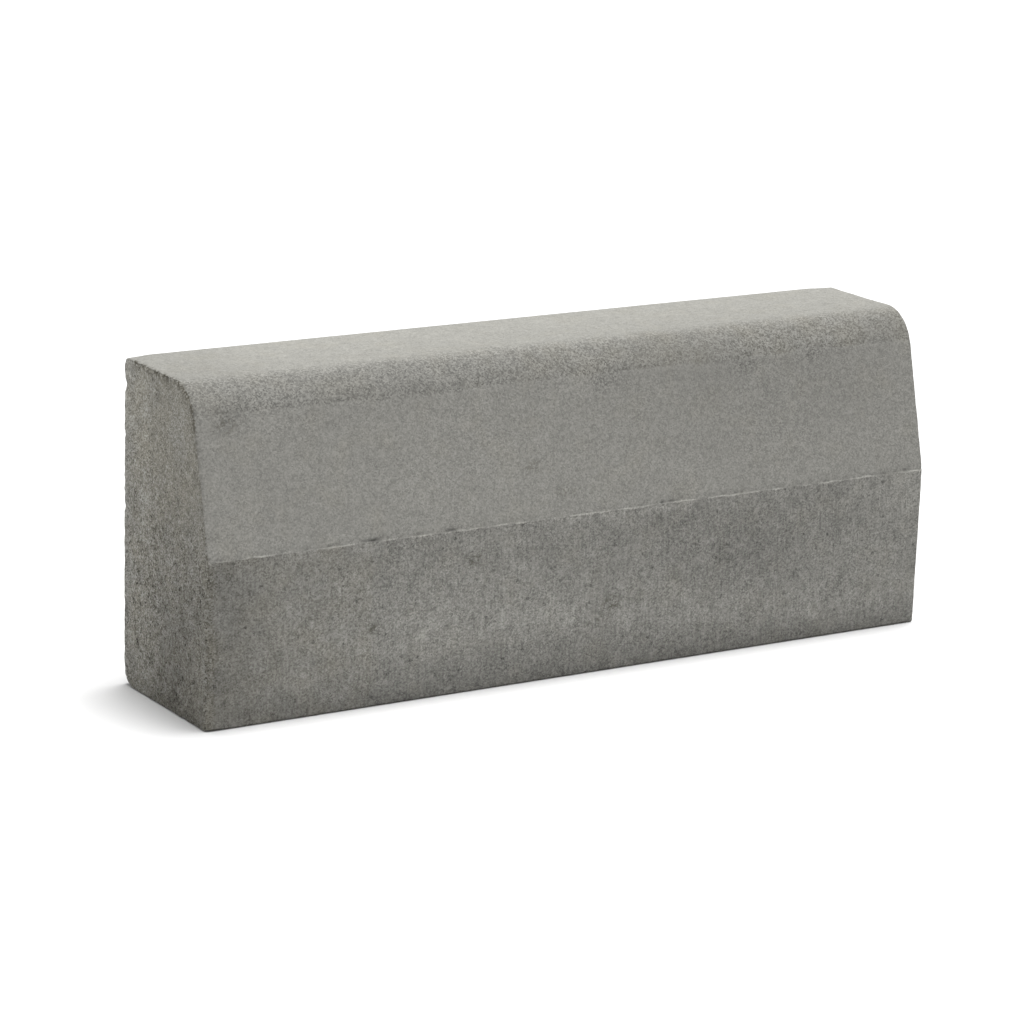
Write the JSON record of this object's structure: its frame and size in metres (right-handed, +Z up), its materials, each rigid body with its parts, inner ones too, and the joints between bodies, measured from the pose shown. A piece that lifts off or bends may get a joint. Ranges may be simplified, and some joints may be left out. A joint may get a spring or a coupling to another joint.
{
  "type": "concrete kerb stone",
  "caption": "Straight precast concrete kerb stone with a nearly upright lower face, a battered upper face, a rounded nose and a flat top, laid on its bed at a road's edge.",
  "frame": {"origin": "the middle of the bed, the flat face that the stone is laid on", "axes": "+X along the kerb, to the right as seen from the road; -Y towards the road; +Z up"},
  "size_m": [0.7, 0.15, 0.275],
  "materials": {
    "concrete": "hydraulically pressed concrete, fine and matt, with a coarse sandy nose and a rough open end"
  },
  "bodies": {
    "root": {"kerb_stone": "concrete"}
  },
  "joints": []
}
